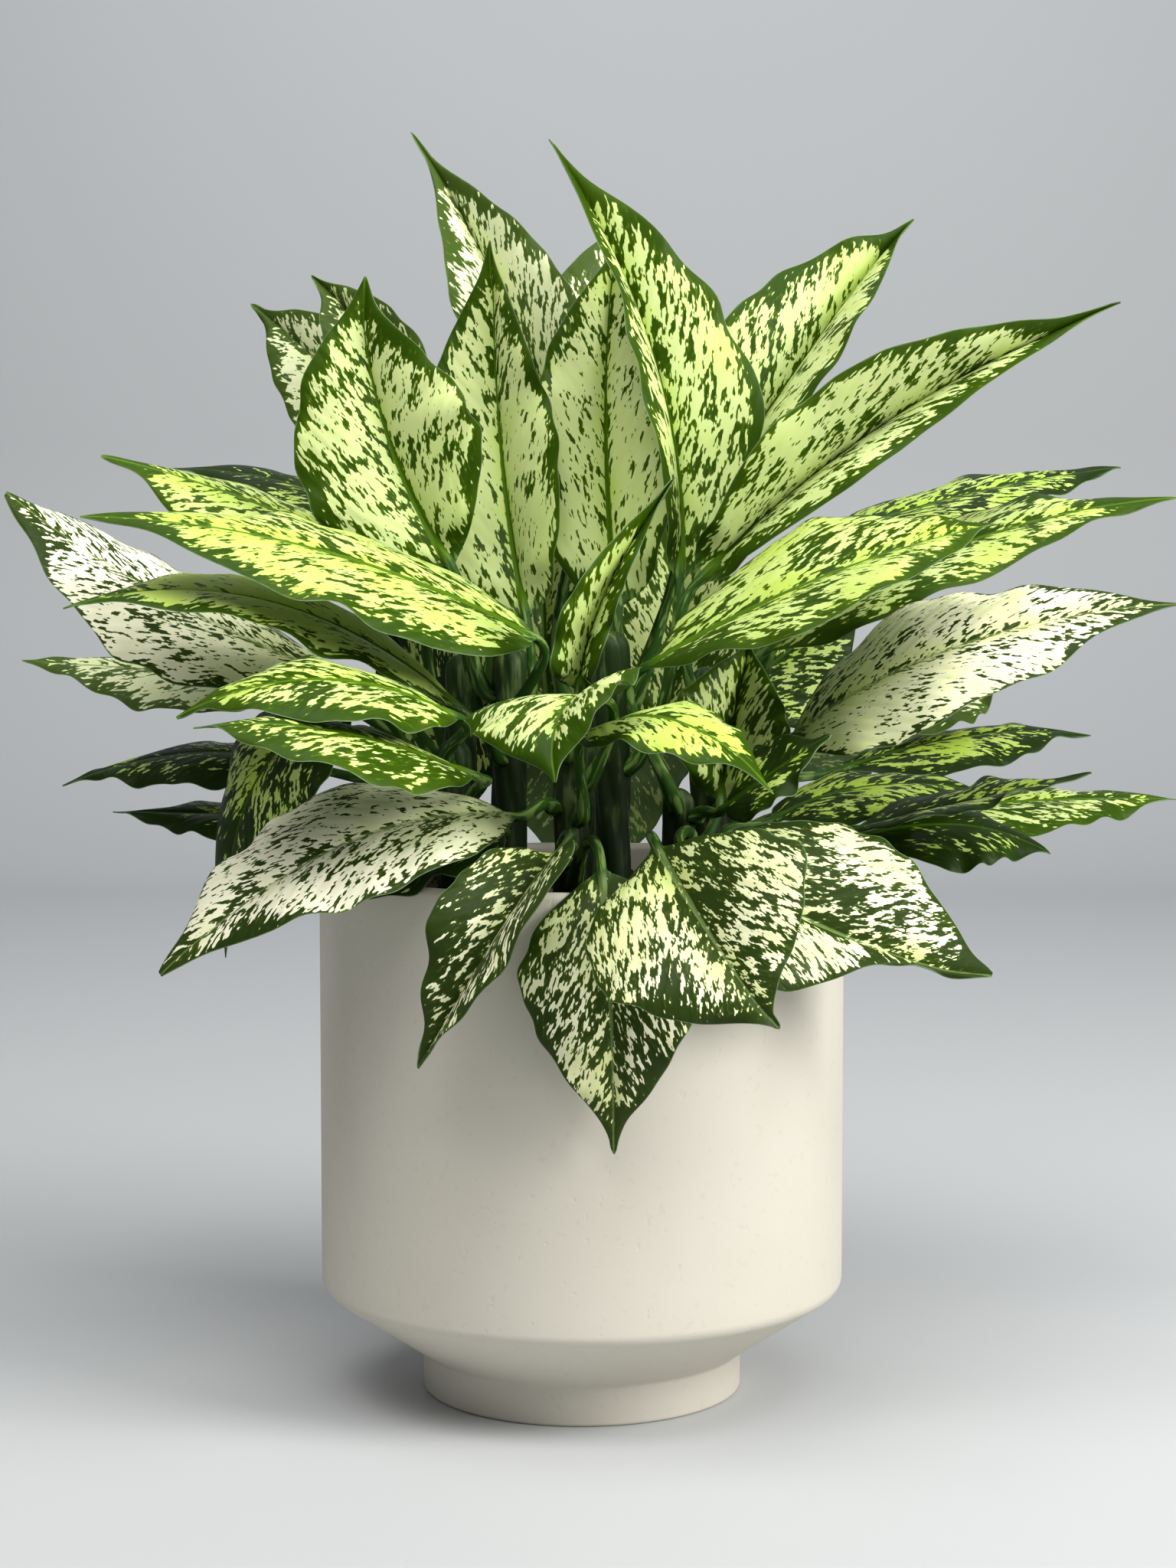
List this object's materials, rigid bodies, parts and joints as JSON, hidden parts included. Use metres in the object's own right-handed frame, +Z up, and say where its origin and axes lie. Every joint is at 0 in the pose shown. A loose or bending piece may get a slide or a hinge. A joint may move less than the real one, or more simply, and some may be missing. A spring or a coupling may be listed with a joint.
{
  "type": "potted chinese evergreen",
  "caption": "Leafy variegated house plant on thick canes in a round ceramic pot with a narrow foot, filled with soil.",
  "frame": {"origin": "middle of the pot's flat underside", "axes": "+Z up along the pot's axis; -Y is the plant's front, the side seen in the picture; +X is its right side seen from the front"},
  "size_m": [0.5998, 0.3926, 0.6229],
  "materials": {
    "ceramic": "matte off-white ceramic with fine pits",
    "soil": "dark crumbly potting soil",
    "cane": "pale green ringed stem",
    "leaf_lime": "semi-gloss leaf, lime patches on mid green",
    "leaf_cream": "semi-gloss leaf, cream patches on green",
    "leaf_ivory": "semi-gloss leaf, ivory patches on deep green",
    "leaf_dark": "semi-gloss dark green leaf with pale flecks"
  },
  "bodies": {
    "root": {"pot": "ceramic", "soil": "soil", "cane_front": "cane", "cane_front_right": "cane", "cane_right": "cane", "cane_middle": "cane", "cane_middle_left": "cane", "cane_left": "cane", "cane_back": "cane", "cane_back_left": "cane", "cane_back_right": "cane", "leaf_centre_1": "leaf_lime", "leaf_centre_2": "leaf_lime", "leaf_centre_3": "leaf_lime", "leaf_centre_4": "leaf_lime", "leaf_centre_5": "leaf_lime", "leaf_upper_1": "leaf_cream", "leaf_upper_2": "leaf_cream", "leaf_upper_3": "leaf_cream", "leaf_upper_4": "leaf_cream", "leaf_upper_5": "leaf_lime", "leaf_upper_6": "leaf_lime", "leaf_upper_7": "leaf_lime", "leaf_right_1": "leaf_lime", "leaf_right_2": "leaf_lime", "leaf_right_3": "leaf_ivory", "leaf_right_4": "leaf_dark", "leaf_right_5": "leaf_dark", "leaf_right_6": "leaf_lime", "leaf_right_7": "leaf_dark", "leaf_right_8": "leaf_dark", "leaf_right_9": "leaf_dark", "leaf_right_10": "leaf_cream", "leaf_left_1": "leaf_lime", "leaf_left_2": "leaf_lime", "leaf_left_3": "leaf_ivory", "leaf_left_4": "leaf_lime", "leaf_left_5": "leaf_dark", "leaf_left_6": "leaf_lime", "leaf_left_7": "leaf_lime", "leaf_left_8": "leaf_dark", "leaf_left_9": "leaf_dark", "leaf_left_10": "leaf_dark", "leaf_left_11": "leaf_cream", "leaf_front_1": "leaf_ivory", "leaf_front_2": "leaf_ivory", "leaf_front_3": "leaf_ivory", "leaf_front_4": "leaf_ivory", "leaf_front_5": "leaf_ivory", "leaf_front_6": "leaf_dark", "leaf_front_7": "leaf_lime", "leaf_front_8": "leaf_lime", "leaf_front_9": "leaf_lime", "leaf_front_10": "leaf_dark", "leaf_back_1": "leaf_lime", "leaf_back_2": "leaf_lime", "leaf_back_3": "leaf_dark", "leaf_back_4": "leaf_dark", "leaf_back_5": "leaf_dark", "leaf_back_6": "leaf_dark"}
  },
  "joints": []
}
